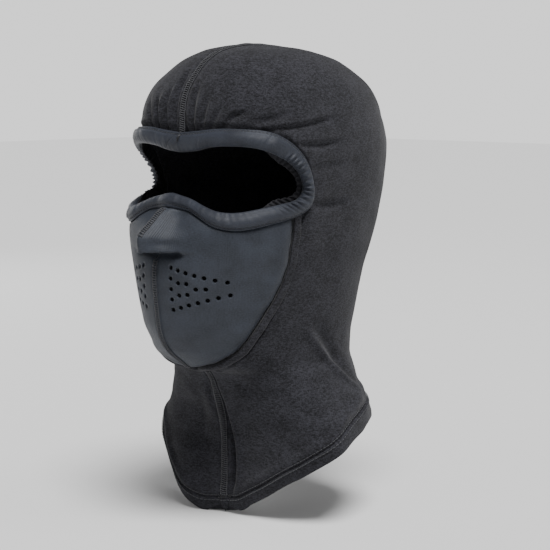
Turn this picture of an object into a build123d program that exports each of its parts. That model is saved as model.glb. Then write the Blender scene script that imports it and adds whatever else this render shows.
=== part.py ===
from build123d import *
import os
from math import atan2, cos, exp, hypot, pi, radians, sin, sqrt

os.makedirs("parts", exist_ok=True)

# A close-fitting balaclava for an adult head.  Millimetres, +Z up, the face looks along -Y and
# +X is the wearer's left.  The origin is the middle of the head at the height of the eyes.

# ---------------------------------------------------------------- the outer surface of the cloth
# Level sections of the worn cloth, from the shoulders up: height, half width, depth in front of
# the origin, depth behind it, and how square the front and the back of the section are.
SECTIONS = [
    (-254, 110, 38, 106, 2.20, 2.20),
    (-208, 104, 38, 97, 2.20, 2.20),
    (-180, 94, 40, 89, 2.30, 2.20),
    (-160, 83, 45, 80, 2.40, 2.20),
    (-143, 74, 50, 73, 2.50, 2.20),
    (-132, 70, 57, 71, 2.30, 2.20),
    (-122, 67, 80, 70, 1.85, 2.20),
    (-110, 67, 95, 71, 1.80, 2.20),
    (-92, 69, 103, 75, 1.90, 2.20),
    (-58, 73, 107, 84, 2.10, 2.20),
    (-30, 78, 103, 95, 2.45, 2.20),
    (5, 80, 87, 107, 2.90, 2.20),
    (36, 82, 81, 111, 3.10, 2.20),
    (58, 79, 78, 106, 2.80, 2.15),
]
DOME_START = 58.0          # above this height the section shrinks towards the crown
CROWN_HEIGHT = 111.5
CROWN_ROUND_FRONT = 1.9    # power of the dome's profile over the forehead
CROWN_ROUND_BACK = 2.2     # the back of the crown is a little squarer
CROWN_SHIFT = -10.0        # the crown's highest point lies this far forward of the origin
SHIFT_START = 36.0
# The nose pocket: height, how far it stands out, and its half width.
NOSE = [
    (-42, 0.0, 18.0),
    (-39, 2.5, 18.0),
    (-36, 11.0, 17.5),
    (-32, 18.0, 17.0),
    (-28, 19.5, 16.5),
    (-20, 14.0, 14.0),
    (-8, 6.0, 11.0),
    (6, 0.0, 9.0),
]

# ---------------------------------------------------------------- cloth and trim sizes
HOOD_THICKNESS = 1.6
MASK_LIFT = 1.2            # the mask's face stands this far outside the hood's
MASK_THICKNESS = 1.8
LINING_THICKNESS = 1.0
LAYER_GAP = 0.05           # between two layers that lie against each other
BINDING_EDGE_LIFT = 1.0
BINDING_CROWN = 3.6        # how much the padded binding rises between its edges
ELASTIC_THICKNESS = 0.9
ROLL_WIDTH = 5.0
ROLL_CROWN = 2.0
SEAM_WIDTH = 5.0           # a flatlock seam
THREAD_RISE = 0.45
COVERSTITCH_WIDTH = 4.2
HEM_DEPTH = 11.0           # how far the bottom hem is turned up inside
HEM_THICKNESS = 1.3
JOIN_GAP = 0.3             # where the two ends of a closed strip meet
SLIT_HALF_LENGTH = 20.0
SLIT_HEIGHT = -37.2
SLIT_OPENING = 1.6
HOLE_DIAMETER = 3.0
HOLE_COUNTS = (5, 4, 4, 3, 3, 2, 2)
HOLE_FIRST_X = 14.0
HOLE_PITCH_X = 5.7
HOLE_TOP = (-48.5, -1.6)   # height of the first column's top hole, and the step per column
HOLE_BOTTOM = (-79.0, 1.9)
LABEL_SIZE = (18.0, 26.0, 0.6)

# ---------------------------------------------------------------- outlines on the left side
# Each point is an azimuth in degrees, 0 in front and 180 behind, and a height.
BINDING_OUTER = [
    (0, 46.5), (12, 48), (25, 50), (38, 49.7), (48.5, 48), (57, 42), (64, 32), (69, 19), (71.2, 6),
    (69.5, -4.5), (62, -11), (50, -15.5), (36, -19.8), (26, -18), (18.5, -12), (11, -7), (0, -5.5),
]
BINDING_INNER = [
    (0, 33), (10, 34.5), (20, 37.5), (33, 38.5), (44, 36.8), (52, 32), (58.5, 26), (64, 17),
    (65.8, 7.5), (62.5, 0.5), (54, -2.5), (44, -5.5), (34, -8.3), (26, -7.6), (19, -4), (11, 0.5),
    (0, 3.5),
]
HOOD_EDGE = BINDING_OUTER[:9] + [
    (69.8, -4.5), (66.5, -11), (64.2, -18), (63.5, -26), (62.8, -36), (62.2, -47.5), (59.5, -60),
    (55.8, -72.5), (49.8, -87), (43.3, -101), (36, -113.8), (25.5, -123.5), (15, -128.5),
    (0, -130.5),
]
MASK_TOP = [
    (0, -6), (11, -7.5), (18.5, -12.6), (26, -18.6), (36, -20.4), (50, -16.1), (60.2, -12.9),
]
MASK_SIDE = [
    (60.2, -12.9), (60.2, -24), (59.2, -35), (58.6, -46.5), (56.2, -58), (52.2, -70),
    (46.2, -83.5),
]
MASK_BOTTOM = [
    (0, -127), (14.8, -123), (23.8, -118), (32.8, -109.5), (39.8, -97), (46.2, -83.5),
]
HEM = [
    (0, -243.5), (20, -241), (34, -235), (49, -226), (64, -211.5), (76, -197), (91, -182.5),
    (107, -174.5), (127, -169), (150, -165), (180, -163),
]


# ---------------------------------------------------------------- curves
def curve_through(points, even=False):
    """A smooth curve from the first point to the last, as a function of 0 to 1.

    The way along it is shared by length, or evenly between the points.
    """
    lengths = [0.0]
    for a, b in zip(points, points[1:]):
        step = 1.0 if even else hypot(b[0] - a[0], b[1] - a[1])
        lengths.append(lengths[-1] + step)
    last = len(points) - 1

    def slope(i, axis):
        before = max(i - 1, 0)
        after = min(i + 1, last)
        rise = points[after][axis] - points[before][axis]
        return rise / (lengths[after] - lengths[before])

    def place(t):
        along = min(max(t, 0.0), 1.0) * lengths[-1]
        i = 0
        while i < last - 1 and lengths[i + 1] < along:
            i += 1
        span = lengths[i + 1] - lengths[i]
        s = (along - lengths[i]) / span
        result = []
        for axis in (0, 1):
            start = points[i][axis]
            end = points[i + 1][axis]
            value = (1 + 2 * s) * (1 - s) ** 2 * start + s * s * (3 - 2 * s) * end
            value += s * (1 - s) ** 2 * span * slope(i, axis)
            value += s * s * (s - 1) * span * slope(i + 1, axis)
            result.append(value)
        return tuple(result)

    return place


def reversed_curve(curve):
    return lambda t: curve(1 - t)


def straight(start, end):
    return lambda t: (start[0] + t * (end[0] - start[0]), start[1] + t * (end[1] - start[1]))


def profile(table, height):
    """The columns of a table after its first one, monotone between its rows."""
    heights = [row[0] for row in table]
    height = min(max(height, heights[0]), heights[-1])
    i = 0
    while i < len(table) - 2 and heights[i + 1] < height:
        i += 1
    span = heights[i + 1] - heights[i]
    s = (height - heights[i]) / span
    values = []
    for column in range(1, len(table[0])):
        secants = []
        for k in range(len(table) - 1):
            rise = table[k + 1][column] - table[k][column]
            secants.append(rise / (heights[k + 1] - heights[k]))
        ends = []
        for k in (i, i + 1):
            before = secants[max(k - 1, 0)]
            after = secants[min(k, len(secants) - 1)]
            flat = before * after <= 0
            ends.append(0.0 if flat else 2 * before * after / (before + after))
        value = (1 + 2 * s) * (1 - s) ** 2 * table[i][column]
        value += s * s * (3 - 2 * s) * table[i + 1][column]
        value += s * (1 - s) ** 2 * span * ends[0] + s * s * (s - 1) * span * ends[1]
        values.append(value)
    return values


# ---------------------------------------------------------------- the skin
def crown_power(azimuth):
    behind = (1 - cos(azimuth)) / 2
    return CROWN_ROUND_FRONT + (CROWN_ROUND_BACK - CROWN_ROUND_FRONT) * behind


def dome_share(height):
    share = (height - DOME_START) / (CROWN_HEIGHT - DOME_START)
    return min(max(share, 0.0), 1.0)


def section_radius(azimuth, height):
    """Radius of the full section, before the dome shrinks it."""
    half_width, front, back, front_power, back_power = profile(SECTIONS, height)
    across = sin(azimuth)
    ahead = cos(azimuth)
    depth = front if ahead > 0 else back
    power = front_power if ahead > 0 else back_power
    power += (2 - power) * dome_share(height) ** 2
    return (abs(across / half_width) ** power + abs(ahead / depth) ** power) ** (-1 / power)


def centre_shift(height):
    share = (height - SHIFT_START) / (CROWN_HEIGHT - SHIFT_START)
    return CROWN_SHIFT * min(max(share, 0.0), 1.0) ** 1.5


def nose_depth(x, height):
    rise, half_width = profile(NOSE, height)
    return rise * exp(-1.3 * (x / half_width) ** 2)


def skin(place):
    """The point of the cloth's outer surface at an azimuth in degrees and a height."""
    azimuth = radians(place[0])
    height = place[1]
    share = dome_share(height)
    power = crown_power(azimuth)
    shrink = max(1 - share ** power, 0.0) ** (1 / power)
    radius = shrink * section_radius(azimuth, height)
    x = radius * sin(azimuth)
    y = centre_shift(height) - radius * cos(azimuth)
    if cos(azimuth) > 0:
        y -= nose_depth(x, height)
    return Vector(x, y, height)


def outside(x, y, z):
    """Zero on the skin, positive outside it."""
    ahead = centre_shift(z) - y
    if ahead > 0:
        ahead -= nose_depth(x, z)
    azimuth = atan2(x, ahead)
    share = dome_share(z)
    power = crown_power(azimuth)
    return (hypot(x, ahead) / section_radius(azimuth, z)) ** power + share ** power - 1


def gradient(point, step=0.05):
    x, y, z = point.X, point.Y, point.Z
    return Vector(
        (outside(x + step, y, z) - outside(x - step, y, z)) / (2 * step),
        (outside(x, y + step, z) - outside(x, y - step, z)) / (2 * step),
        (outside(x, y, z + step) - outside(x, y, z - step)) / (2 * step),
    )


def onto_skin(point):
    for _ in range(4):
        slope = gradient(point)
        point = point - slope * (outside(point.X, point.Y, point.Z) / slope.dot(slope))
    return point


def lifted(point, lift):
    return point + gradient(point).normalized() * lift


# ---------------------------------------------------------------- a flat map of the hood
# The hood is laid out on a plane as a disc with the crown in the middle: the angle is the azimuth
# and the distance from the middle grows from the crown down to the hem.
DOME_HEIGHT = CROWN_HEIGHT - DOME_START


def to_map(place):
    azimuth = radians(place[0])
    share = dome_share(place[1])
    if share > 0:
        power = crown_power(azimuth)
        distance = atan2(max(1 - share ** power, 0.0) ** (1 / power), share)
    else:
        distance = pi / 2 + (DOME_START - place[1]) / DOME_HEIGHT
    return (distance * sin(azimuth), distance * cos(azimuth))


def from_map(spot):
    distance = hypot(*spot)
    azimuth = atan2(spot[0], spot[1])
    if distance < pi / 2:
        power = crown_power(azimuth)
        size = (sin(distance) ** power + cos(distance) ** power) ** (1 / power)
        height = DOME_START + DOME_HEIGHT * cos(distance) / size
    else:
        height = DOME_START - DOME_HEIGHT * (distance - pi / 2)
    return (azimuth * 180 / pi, height)


# ---------------------------------------------------------------- solids from surfaces
def fill_patch(start_side, end_side, first_edge, last_edge, rows, columns):
    """Points of a four-sided patch; the sides run from the first edge to the last one."""
    corners = (first_edge(0), first_edge(1), last_edge(0), last_edge(1))
    grid = []
    for i in range(rows + 1):
        v = i / rows
        row = []
        for j in range(columns + 1):
            u = j / columns
            spot = []
            for axis in (0, 1):
                value = (1 - v) * first_edge(u)[axis] + v * last_edge(u)[axis]
                value += (1 - u) * start_side(v)[axis] + u * end_side(v)[axis]
                value -= (1 - v) * ((1 - u) * corners[0][axis] + u * corners[1][axis])
                value -= v * ((1 - u) * corners[2][axis] + u * corners[3][axis])
                spot.append(value)
            row.append(tuple(spot))
        grid.append(row)
    return grid


def surface(points):
    """The smooth surface through a grid of points, its rows as evenly spaced splines."""
    last = len(points[0]) - 1
    shares = [j / last for j in range(last + 1)]
    rows = [Wire([Edge.make_spline(row, parameters=shares)]) for row in points]
    return Shell.make_loft(rows).face()


def shell_solid(outer_points, inner_points):
    """The closed solid between two surfaces given as matching grids of points."""
    outer = surface(outer_points)
    inner = surface(inner_points)
    sides = []
    for outer_edge, inner_edge in zip(outer.edges(), inner.edges()):
        sides.append(Face.make_surface_from_curves(outer_edge, inner_edge))
    return Solid(Shell([outer, inner] + sides))


def layer(points, outer_lift, inner_lift):
    """A solid that follows the skin between two lifts, which may vary over the grid."""
    grids = []
    for lift in (outer_lift, inner_lift):
        grid = []
        for i, row in enumerate(points):
            t = i / (len(points) - 1)
            grid.append([
                lifted(point, lift(t, j / (len(row) - 1)) if callable(lift) else lift)
                for j, point in enumerate(row)
            ])
        grids.append(grid)
    return shell_solid(*grids)


def between(first_edge, last_edge, start=0.0, end=1.0, across=4):
    """Points of a strip between two rows of points, from one share of its width to another."""
    grid = []
    for a, b in zip(first_edge, last_edge):
        row = []
        for j in range(across + 1):
            share = start + (end - start) * j / across
            row.append(onto_skin(a + (b - a) * share))
        grid.append(row)
    return grid


def along(centre, width, offset=0.0, across=4):
    """Points of a strip of constant width along a row of points, moved sideways by offset."""
    grid = []
    for i, point in enumerate(centre):
        ahead = centre[min(i + 1, len(centre) - 1)]
        behind = centre[max(i - 1, 0)]
        side = gradient(point).cross(ahead - behind).normalized()
        row = []
        for j in range(across + 1):
            reach = offset + width * (j / across - 0.5)
            row.append(onto_skin(point + side * reach))
        grid.append(row)
    return grid


def eased(points, passes):
    """A row of points with its bends rounded off, still on the skin."""
    for _ in range(passes):
        inner = [(a + b * 2 + c) / 4 for a, b, c in zip(points, points[1:], points[2:])]
        points = [points[0]] + inner + [points[-1]]
    return [onto_skin(point) for point in points]


def samples(curve, count, start=0.0, end=1.0):
    return [skin(curve(start + (end - start) * i / count)) for i in range(count + 1)]


def mirrored(points):
    return [Vector(-point.X, point.Y, point.Z) for point in points]


def other_side(solid):
    return mirror(solid, about=Plane.YZ)


def save(name, shape):
    shape.label = name
    export_step(shape, "parts/" + name + ".step")


def save_pair(name, solid):
    save(name + "_left", solid)
    save(name + "_right", other_side(solid))


# ---------------------------------------------------------------- hood
def hood_panel():
    """One side of the hood: face edge, throat seam, hem, and the seam over the crown."""
    edge = curve_through([to_map(place) for place in HOOD_EDGE])
    hem = curve_through([to_map(place) for place in reversed(HEM)])
    crown_line = straight(to_map(HOOD_EDGE[0]), to_map(HEM[-1]))
    throat_line = straight(to_map(HOOD_EDGE[-1]), to_map(HEM[0]))
    spots = fill_patch(crown_line, throat_line, edge, hem, 40, 36)
    points = [[skin(from_map(spot)) for spot in row] for row in spots]
    for row in points:
        row[0] = Vector(0, row[0].Y, row[0].Z)
        row[-1] = Vector(0, row[-1].Y, row[-1].Z)
    return layer(points, 0.0, -HOOD_THICKNESS)


def crown_seam():
    line = straight(to_map((0, HOOD_EDGE[0][1] + 1)), to_map((180, HEM[-1][1] + 1)))
    centre = [skin(from_map(line(i / 48))) for i in range(49)]
    return layer(along(centre, SEAM_WIDTH), LAYER_GAP + THREAD_RISE, LAYER_GAP)


def throat_seam():
    centre = samples(straight((0, HOOD_EDGE[-1][1] - 2), (0, HEM[0][1] + HEM_DEPTH + 3)), 24)
    return layer(along(centre, SEAM_WIDTH), LAYER_GAP + THREAD_RISE, LAYER_GAP)


def hem_ring(height_above, width, outer_lift, inner_lift):
    """A strip right round the bottom, open by a small gap at the back."""
    hem = curve_through(HEM)
    left = [skin((place[0], place[1] + height_above)) for place in
            (hem(i / 40) for i in range(41))]
    gap = Vector(JOIN_GAP / 2, 0, 0)
    left[-1] = left[-1] + gap
    centre = mirrored(left)[:0:-1] + left
    return layer(along(centre, width), outer_lift, inner_lift)


def bottom_hem():
    """The turned-up layer inside one side of the bottom edge."""
    hem = curve_through(HEM)
    places = [hem(i / 32) for i in range(33)]
    low = [skin((place[0], place[1] + 0.4)) for place in places]
    high = [skin((place[0], place[1] + HEM_DEPTH)) for place in places]
    lift = -HOOD_THICKNESS - LAYER_GAP
    return layer(between(low, high), lift, lift - HEM_THICKNESS)


# ---------------------------------------------------------------- eye port
def loop_edges(count=48):
    """The outer and inner edge of the binding, right round the opening from the brow."""
    edges = []
    for outline in (BINDING_OUTER, BINDING_INNER):
        half = samples(curve_through(outline, even=True), count)
        loop = half + mirrored(half)[-2::-1]
        loop[0] = loop[0] + Vector(JOIN_GAP / 2, 0, 0)
        loop[-1] = loop[-1] - Vector(JOIN_GAP / 2, 0, 0)
        edges.append(loop)
    return edges


def binding_lift(t, share):
    return BINDING_EDGE_LIFT + BINDING_CROWN * sqrt(max(1 - (2 * share - 1) ** 2, 0.0))


def eye_port_binding(edges):
    points = between(*edges, start=0.02, end=0.98, across=10)
    return layer(points, binding_lift, -HOOD_THICKNESS)


def eye_port_elastic(edges):
    lift = -HOOD_THICKNESS - LAYER_GAP
    return layer(between(*edges, start=0.2, end=0.85), lift, lift - ELASTIC_THICKNESS)


def eye_port_topstitch(edges):
    """The thread that lies in the groove along the binding's outer edge."""
    start, end = 0.05, 0.15

    def lift(t, share):
        return binding_lift(t, start + (end - start) * share) + 2 * LAYER_GAP

    def top(t, share):
        return lift(t, share) + THREAD_RISE

    return layer(between(*edges, start=start, end=end), top, lift)


def brow_bartack(edges):
    """The short dense row that closes the binding's join at the brow."""
    high = edges[0][0]
    low = edges[1][0]
    centre = [onto_skin(high + (low - high) * (0.2 + 0.6 * i / 12)) for i in range(13)]

    def lift(t, share):
        return binding_lift(0, 0.2 + 0.6 * t) + 3 * LAYER_GAP

    def top(t, share):
        return lift(t, share) + THREAD_RISE

    return layer(along(centre, 2.4), top, lift)


# ---------------------------------------------------------------- face edge and mask
def face_edge_places():
    side = curve_through(MASK_SIDE)
    bottom = curve_through(MASK_BOTTOM)
    left = [side(i / 24) for i in range(25)]
    left += [bottom(1 - i / 24) for i in range(1, 25)]
    return left


def face_edge_centre():
    """The mask's edge from the left corner under the chin to the right corner."""
    left = [skin(place) for place in face_edge_places()]
    return left + mirrored(left)[-2::-1]


def face_edge_roll():
    """The hood's edge, rolled outwards beside the mask."""
    gap = 0.5

    def lift(t, share):
        return 0.6 + ROLL_CROWN * sqrt(max(1 - (2 * share - 1) ** 2, 0.0))

    width = ROLL_WIDTH - 2 * gap
    points = along(face_edge_centre()[1:-1], width, ROLL_WIDTH / 2, across=6)
    return layer(points, lift, -HOOD_THICKNESS)


def mask_seam_overlock():
    """The seam on the inside that joins the mask to the hood."""
    lift = MASK_LIFT - MASK_THICKNESS - LAYER_GAP - LINING_THICKNESS - LAYER_GAP
    points = along(eased(face_edge_centre(), 7)[3:-3], 6.0, 1.2)
    return layer(points, lift, lift - 0.6)


def mask_points():
    top = curve_through(MASK_TOP)
    bottom = curve_through(MASK_BOTTOM)
    side = curve_through(MASK_SIDE)
    middle = straight(MASK_TOP[0], MASK_BOTTOM[0])
    places = fill_patch(middle, side, top, bottom, 44, 28)
    return [[skin(place) for place in row] for row in places]


def with_openings(panel):
    """Cut the breathing slit under the nose and the holes in front of the mouth."""
    slit = Pos(0, -100, SLIT_HEIGHT) * Box(2 * SLIT_HALF_LENGTH, 80, SLIT_OPENING)
    panel = panel - slit
    cutters = []
    for column, count in enumerate(HOLE_COUNTS):
        x = HOLE_FIRST_X + HOLE_PITCH_X * column
        top = HOLE_TOP[0] + HOLE_TOP[1] * column
        bottom = HOLE_BOTTOM[0] + HOLE_BOTTOM[1] * column
        for row in range(count):
            height = top + (bottom - top) * row / (count - 1)
            place = skin_below(x, height)
            out = gradient(place).normalized()
            plane = Plane(origin=place, z_dir=out)
            cutters.append(plane * Cylinder(HOLE_DIAMETER / 2, 12))
    return panel - cutters


def skin_below(x, height):
    """The point of the front of the skin at a distance from the middle plane and a height."""
    low, high = 0.0, 60.0
    for _ in range(30):
        middle = (low + high) / 2
        if skin((middle, height)).X < x:
            low = middle
        else:
            high = middle
    return skin((low, height))


def mask_panel(points):
    return with_openings(layer(points, MASK_LIFT, MASK_LIFT - MASK_THICKNESS))


def mask_lining(points):
    lift = MASK_LIFT - MASK_THICKNESS - LAYER_GAP
    return with_openings(layer(points, lift, lift - LINING_THICKNESS))


def mask_seam(top, bottom):
    lift = MASK_LIFT + LAYER_GAP
    centre = samples(straight((0, top), (0, bottom)), 20)
    return layer(along(centre, SEAM_WIDTH - 1), lift + THREAD_RISE, lift)


# ---------------------------------------------------------------- small trim
def throat_bartack():
    height = HEM[0][1] + HEM_DEPTH + 1
    centre = [onto_skin(skin((0, height)) + Vector(-5 + i, 0, 0)) for i in range(11)]
    lift = 2 * LAYER_GAP
    return layer(along(centre, 2.2), lift + THREAD_RISE, lift)


def care_label():
    """A blank label that hangs inside the nape seam."""
    width, height, thickness = LABEL_SIZE
    top = -104.0
    centre = samples(straight((180, top), (180, top - height)), 8)
    lift = -HOOD_THICKNESS - 0.3
    return layer(along(centre, width), lift, lift - thickness)


edges = loop_edges()
mask = mask_points()
hem_height = HEM_DEPTH - 1.0

save_pair("hood_panel", hood_panel())
save("crown_seam_stitching", crown_seam())
save("throat_seam_stitching", throat_seam())
save_pair("bottom_hem", bottom_hem())
save("bottom_hem_coverstitch",
     hem_ring(hem_height, COVERSTITCH_WIDTH, LAYER_GAP + THREAD_RISE, LAYER_GAP))
save("face_edge_roll", face_edge_roll())
save("mask_seam_overlock", mask_seam_overlock())
save_pair("mask_panel", mask_panel(mask))
save_pair("mask_lining", mask_lining(mask))
save("nose_ridge_stitching", mask_seam(-8, -27))
save("mask_centre_stitching", mask_seam(-43, -125))
save("eye_port_binding", eye_port_binding(edges))
save("eye_port_elastic", eye_port_elastic(edges))
save("eye_port_topstitch", eye_port_topstitch(edges))
save("brow_bartack", brow_bartack(edges))
save("throat_bartack", throat_bartack())
save("care_label", care_label())
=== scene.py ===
import math

import bpy
import numpy as np
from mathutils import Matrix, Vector
from mathutils.geometry import delaunay_2d_cdt


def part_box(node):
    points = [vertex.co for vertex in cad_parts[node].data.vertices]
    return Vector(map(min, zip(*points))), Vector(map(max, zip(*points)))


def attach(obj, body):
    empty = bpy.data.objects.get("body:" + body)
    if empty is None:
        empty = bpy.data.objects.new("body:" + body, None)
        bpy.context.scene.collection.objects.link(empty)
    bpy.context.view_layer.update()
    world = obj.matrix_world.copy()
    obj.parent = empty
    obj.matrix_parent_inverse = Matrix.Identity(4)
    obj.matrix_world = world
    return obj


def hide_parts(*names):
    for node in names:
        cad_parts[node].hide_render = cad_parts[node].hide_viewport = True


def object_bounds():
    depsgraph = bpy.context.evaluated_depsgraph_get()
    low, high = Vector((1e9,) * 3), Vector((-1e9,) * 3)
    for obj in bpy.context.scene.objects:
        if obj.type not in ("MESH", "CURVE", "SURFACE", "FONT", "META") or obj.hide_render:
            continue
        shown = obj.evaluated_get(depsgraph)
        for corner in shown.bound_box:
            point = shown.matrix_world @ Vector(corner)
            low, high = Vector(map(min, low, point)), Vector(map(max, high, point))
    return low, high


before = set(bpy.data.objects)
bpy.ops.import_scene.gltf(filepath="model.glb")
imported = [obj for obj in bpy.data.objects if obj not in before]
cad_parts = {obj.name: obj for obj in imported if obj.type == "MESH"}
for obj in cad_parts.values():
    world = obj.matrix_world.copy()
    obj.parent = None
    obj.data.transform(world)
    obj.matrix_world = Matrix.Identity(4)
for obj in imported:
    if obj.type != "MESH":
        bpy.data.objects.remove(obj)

CAD_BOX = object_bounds()

# The cloth is laid out in millimetres in the frame's own axes: +Z up, the face looks along -Y,
# +X is the wearer's left, and the origin is the middle of the head at the height of the eyes.
MM = 0.001

# ---- the outer surface of the cloth
# height, half width, depth in front, depth behind, squareness in front, squareness behind
SECTIONS = np.array([
    (-254, 110, 38, 106, 2.20, 2.20),
    (-208, 104, 38, 97, 2.20, 2.20),
    (-180, 94, 40, 89, 2.30, 2.20),
    (-160, 83, 45, 80, 2.40, 2.20),
    (-143, 74, 50, 73, 2.50, 2.20),
    (-132, 70, 57, 71, 2.30, 2.20),
    (-122, 67, 80, 70, 1.85, 2.20),
    (-110, 67, 95, 71, 1.80, 2.20),
    (-92, 69, 103, 75, 1.90, 2.20),
    (-58, 73, 107, 84, 2.10, 2.20),
    (-30, 78, 103, 95, 2.45, 2.20),
    (5, 80, 87, 107, 2.90, 2.20),
    (36, 82, 81, 111, 3.10, 2.20),
    (58, 79, 78, 106, 2.80, 2.15),
])
DOME_START = 58.0          # above this height the section shrinks towards the crown
CROWN_HEIGHT = 111.5
CROWN_ROUND_FRONT = 1.9
CROWN_ROUND_BACK = 2.2
CROWN_SHIFT = -10.0
SHIFT_START = 36.0
# height, how far the nose pocket stands out, its half width
NOSE = np.array([
    (-42, 0.0, 18.0),
    (-39, 2.5, 18.0),
    (-36, 11.0, 17.5),
    (-32, 18.0, 17.0),
    (-28, 19.5, 16.5),
    (-20, 14.0, 14.0),
    (-8, 6.0, 11.0),
    (6, 0.0, 9.0),
])

# Outlines on the left side: azimuth in degrees, 0 in front and 180 behind, and height.
BINDING_OUTER = [
    (0, 46.5), (12, 48), (25, 50), (38, 49.7), (48.5, 48), (57, 42), (64, 32), (69, 19), (71.2, 6),
    (69.5, -4.5), (62, -11), (50, -15.5), (36, -19.8), (26, -18), (18.5, -12), (11, -7), (0, -5.5),
]
BINDING_INNER = [
    (0, 33), (10, 34.5), (20, 37.5), (33, 38.5), (44, 36.8), (52, 32), (58.5, 26), (64, 17),
    (65.8, 7.5), (62.5, 0.5), (54, -2.5), (44, -5.5), (34, -8.3), (26, -7.6), (19, -4), (11, 0.5),
    (0, 3.5),
]
HOOD_EDGE = BINDING_OUTER[:9] + [
    (69.8, -4.5), (66.5, -11), (64.2, -18), (63.5, -26), (62.8, -36), (62.2, -47.5), (59.5, -60),
    (55.8, -72.5), (49.8, -87), (43.3, -101), (36, -113.8), (25.5, -123.5), (15, -128.5),
    (0, -130.5),
]
# the mask's top edge runs on a little way under the binding
MASK_TOP = [
    (0, -4), (11, -5.5), (18.5, -10.4), (26, -16.4), (36, -18.2), (50, -13.9), (60.2, -10.7),
]
MASK_SIDE = [
    (60.2, -10.7), (60.2, -24), (59.2, -35), (58.6, -46.5), (56.2, -58), (52.2, -70),
    (46.2, -83.5), (39.8, -97), (32.8, -109.5), (23.8, -118), (14.8, -123), (0, -127),
]
HEM = [
    (0, -243.5), (20, -241), (34, -235), (49, -226), (64, -211.5), (76, -197), (91, -182.5),
    (107, -174.5), (127, -169), (150, -165), (180, -163),
]

HOOD_THICKNESS = 1.6
MASK_LIFT = 1.2
MASK_THICKNESS = 1.8
LINING_THICKNESS = 1.0
HEM_DEPTH = 10.5
SLIT_HEIGHT = -37.2
SLIT_HALF_LENGTH = 20.0
SLIT_OPENING = 1.8
HOLE_RADIUS = 1.7
HOLE_COUNTS = (5, 4, 4, 3, 3, 2, 2)
HOLE_FIRST_X = 14.0
HOLE_PITCH_X = 5.7
# the first column's top and bottom hole, and the change in each from one column to the next
HOLE_TOP = (-48.5, -1.6)
HOLE_BOTTOM = (-79.0, 1.9)

HOOD_ROWS, HOOD_COLUMNS = 256, 288
HEM_FOLD_THICKNESS = 1.2
LOOP_POINTS = 420
LOOP_EASING = 6            # each point of the eye opening is averaged with this many either side
BINDING_LAP = 1.2          # how far the binding laps over the hood and the mask
STITCH_LINE = 0.13         # where the binding's stitches run, as a share of the way across it
SEAM_OFFSET = 1.2          # the mask's seam lies this far outside the mask's edge
THREAD = 0.34
FINE_THREAD = 0.24
FLAT_SCALE = 1.45          # millimetres of mask per degree of azimuth, near enough for even triangles
MASK_SPACING = 1.25


def smooth(value):
    """A smooth step from 0 to 1."""
    value = np.clip(value, 0.0, 1.0)
    return value * value * (3 - 2 * value)


def hill(value, middle, width):
    """A smooth hill, 1 at its middle."""
    return np.exp(-((value - middle) / width) ** 2)


def unit(vectors):
    return vectors / np.linalg.norm(vectors, axis=-1, keepdims=True)


def cubic(s, span, start, end, start_slope, end_slope):
    """From start to end with a given slope at each, as s goes from 0 to 1."""
    value = (1 + 2 * s) * (1 - s) ** 2 * start + s * s * (3 - 2 * s) * end
    return value + span * (s * (1 - s) ** 2 * start_slope + s * s * (s - 1) * end_slope)


def curve_through(points, even=False):
    """A smooth curve through points, as a function of an array of shares from 0 to 1."""
    points = np.array(points, float)
    steps = np.ones(len(points) - 1) if even else np.linalg.norm(np.diff(points, axis=0), axis=1)
    lengths = np.concatenate([[0.0], np.cumsum(steps)])
    after = np.minimum(np.arange(len(points)) + 1, len(points) - 1)
    before = np.maximum(np.arange(len(points)) - 1, 0)
    slopes = (points[after] - points[before]) / (lengths[after] - lengths[before])[:, None]

    def place(share):
        along = np.clip(np.asarray(share, float), 0, 1) * lengths[-1]
        i = np.clip(np.searchsorted(lengths, along) - 1, 0, len(points) - 2)
        span = (lengths[i + 1] - lengths[i])[..., None]
        s = (along - lengths[i])[..., None] / span
        return cubic(s, span, points[i], points[i + 1], slopes[i], slopes[i + 1])

    return place


def profile(table, height):
    """The columns of a table after its first one, monotone between its rows."""
    at = table[:, 0]
    height = np.clip(height, at[0], at[-1])
    i = np.clip(np.searchsorted(at, height) - 1, 0, len(at) - 2)
    span = at[i + 1] - at[i]
    s = (height - at[i]) / span
    result = []
    for column in table.T[1:]:
        secant = np.diff(column) / np.diff(at)
        left = np.concatenate([secant[:1], secant])
        right = np.concatenate([secant, secant[-1:]])
        total = np.where(left + right == 0, 1.0, left + right)
        slope = np.where(left * right > 0, 2 * left * right / total, 0.0)
        result.append(cubic(s, span, column[i], column[i + 1], slope[i], slope[i + 1]))
    return result


def crown_power(azimuth):
    behind = (1 - np.cos(azimuth)) / 2
    return CROWN_ROUND_FRONT + (CROWN_ROUND_BACK - CROWN_ROUND_FRONT) * behind


def dome_share(height):
    return np.clip((height - DOME_START) / (CROWN_HEIGHT - DOME_START), 0.0, 1.0)


def section_radius(azimuth, height):
    half_width, front, back, front_power, back_power = profile(SECTIONS, height)
    across, ahead = np.sin(azimuth), np.cos(azimuth)
    depth = np.where(ahead > 0, front, back)
    power = np.where(ahead > 0, front_power, back_power)
    power = power + (2 - power) * dome_share(height) ** 2
    return (np.abs(across / half_width) ** power + np.abs(ahead / depth) ** power) ** (-1 / power)


def centre_shift(height):
    share = (height - SHIFT_START) / (CROWN_HEIGHT - SHIFT_START)
    return CROWN_SHIFT * np.clip(share, 0.0, 1.0) ** 1.5


def nose_pocket(x, height):
    """How far the nose pocket stands out in the middle, and the share of that at x."""
    rise, half_width = profile(NOSE, height)
    return rise, np.exp(-1.3 * (x / half_width) ** 2)


def nose_depth(x, height):
    rise, share = nose_pocket(x, height)
    return rise * share


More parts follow.
